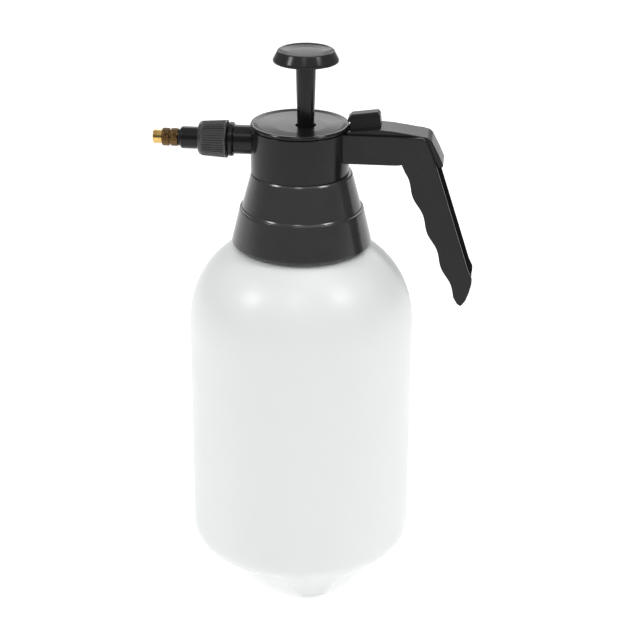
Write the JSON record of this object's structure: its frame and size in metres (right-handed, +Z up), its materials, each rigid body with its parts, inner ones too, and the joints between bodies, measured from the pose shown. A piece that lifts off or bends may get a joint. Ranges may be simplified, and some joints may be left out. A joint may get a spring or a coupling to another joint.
{
  "type": "pump sprayer",
  "caption": "Hand pressure sprayer: milky bottle on feet, stepped screw collar, pump head with side handle, thumb lever, knob-topped plunger and adjustable brass nozzle.",
  "frame": {"origin": "on the surface the sprayer stands on, under the middle of its outline; the bottle's axis is 6.55 mm to -X of it", "axes": "+Z up along the bottle and the pump, nozzle towards -X, handle and thumb lever towards +X"},
  "size_m": [0.1713, 0.122, 0.3018],
  "materials": {
    "charcoal_plastic": "semi-gloss charcoal moulded plastic",
    "milky_bottle": "satin translucent milky polyethylene",
    "turned_brass": "turned and knurled, polished tip",
    "black_rubber": "matt black",
    "spring_steel": "drawn wire",
    "white_plastic": "natural white moulded plastic",
    "clear_hose": "cloudy clear tube"
  },
  "bodies": {
    "bottle": {"bottle": "milky_bottle"},
    "head": {"head_body": "charcoal_plastic", "head_lid": "charcoal_plastic", "neck_gasket": "black_rubber", "pump_barrel": "white_plastic", "check_valve": "black_rubber", "valve_body": "white_plastic", "valve_gland_ring": "black_rubber", "valve_spring": "spring_steel", "outlet_hose": "clear_hose", "dip_tube": "clear_hose", "intake_strainer": "white_plastic"},
    "collar": {"collar": "charcoal_plastic"},
    "plunger": {"pump_rod": "charcoal_plastic", "pump_knob": "charcoal_plastic", "piston": "white_plastic"},
    "piston_ring": {"piston_ring": "black_rubber"},
    "trigger": {"trigger_lever": "charcoal_plastic"},
    "valve_pin": {"valve_pin": "spring_steel", "valve_seal": "black_rubber"},
    "nozzle_stem": {"nozzle_stem": "charcoal_plastic", "nozzle_washer": "black_rubber", "swirl_core": "white_plastic"},
    "coupling_nut": {"coupling_nut": "charcoal_plastic"},
    "nozzle_ring": {"nozzle_ring": "black_rubber"},
    "nozzle_cap": {"nozzle_cap": "turned_brass"}
  },
  "joints": [
    {"name": "head_lift", "type": "slide", "parent": "bottle", "child": "head", "axis": [0, 0, 1], "range_m": [0, 0.006]},
    {"name": "collar_turn", "type": "hinge", "parent": "head", "child": "collar", "pos_m": [-0.00655, 0, 0.2], "axis": [0, 0, 1], "range_deg": [0, 541]},
    {"name": "pump_stroke", "type": "slide", "parent": "head", "child": "plunger", "axis": [0, 0, 1], "range_m": [-0.032, 0.018]},
    {"name": "piston_ring_float", "type": "slide", "parent": "plunger", "child": "piston_ring", "axis": [0, 0, 1], "range_m": [0, 0.002]},
    {"name": "trigger_press", "type": "hinge", "parent": "head", "child": "trigger", "pos_m": [0.05745, 0, 0.251], "axis": [0, -1, 0], "range_deg": [0, 3]},
    {"name": "valve_open", "type": "slide", "parent": "head", "child": "valve_pin", "axis": [0, 0, -1], "range_m": [0, 0.0025], "stiffness_N_per_m": 300, "springref_m": -0.01, "deforming": ["valve_spring"]},
    {"name": "nozzle_release", "type": "slide", "parent": "head", "child": "nozzle_stem", "axis": [-1, 0, 0], "range_m": [0, 0.006]},
    {"name": "nut_turn", "type": "hinge", "parent": "nozzle_stem", "child": "coupling_nut", "pos_m": [-0.05455, 0, 0.2521], "axis": [-1, 0, 0], "range_deg": [0, 1081]},
    {"name": "cap_advance", "type": "slide", "parent": "nozzle_stem", "child": "nozzle_ring", "axis": [-1, 0, 0], "range_m": [0, 0.001]},
    {"name": "cap_turn", "type": "hinge", "parent": "nozzle_ring", "child": "nozzle_cap", "pos_m": [-0.07655, 0, 0.2521], "axis": [-1, 0, 0], "range_deg": [0, 361]}
  ],
  "couplings": [
    {"joint": "collar_turn", "follows": "head_lift", "rad_per_m": 1570.8},
    {"joint": "trigger_press", "follows": "valve_open", "rad_per_m": 20.96},
    {"joint": "nut_turn", "follows": "nozzle_release", "rad_per_m": 3141.6},
    {"joint": "cap_turn", "follows": "cap_advance", "rad_per_m": 6283.2}
  ]
}
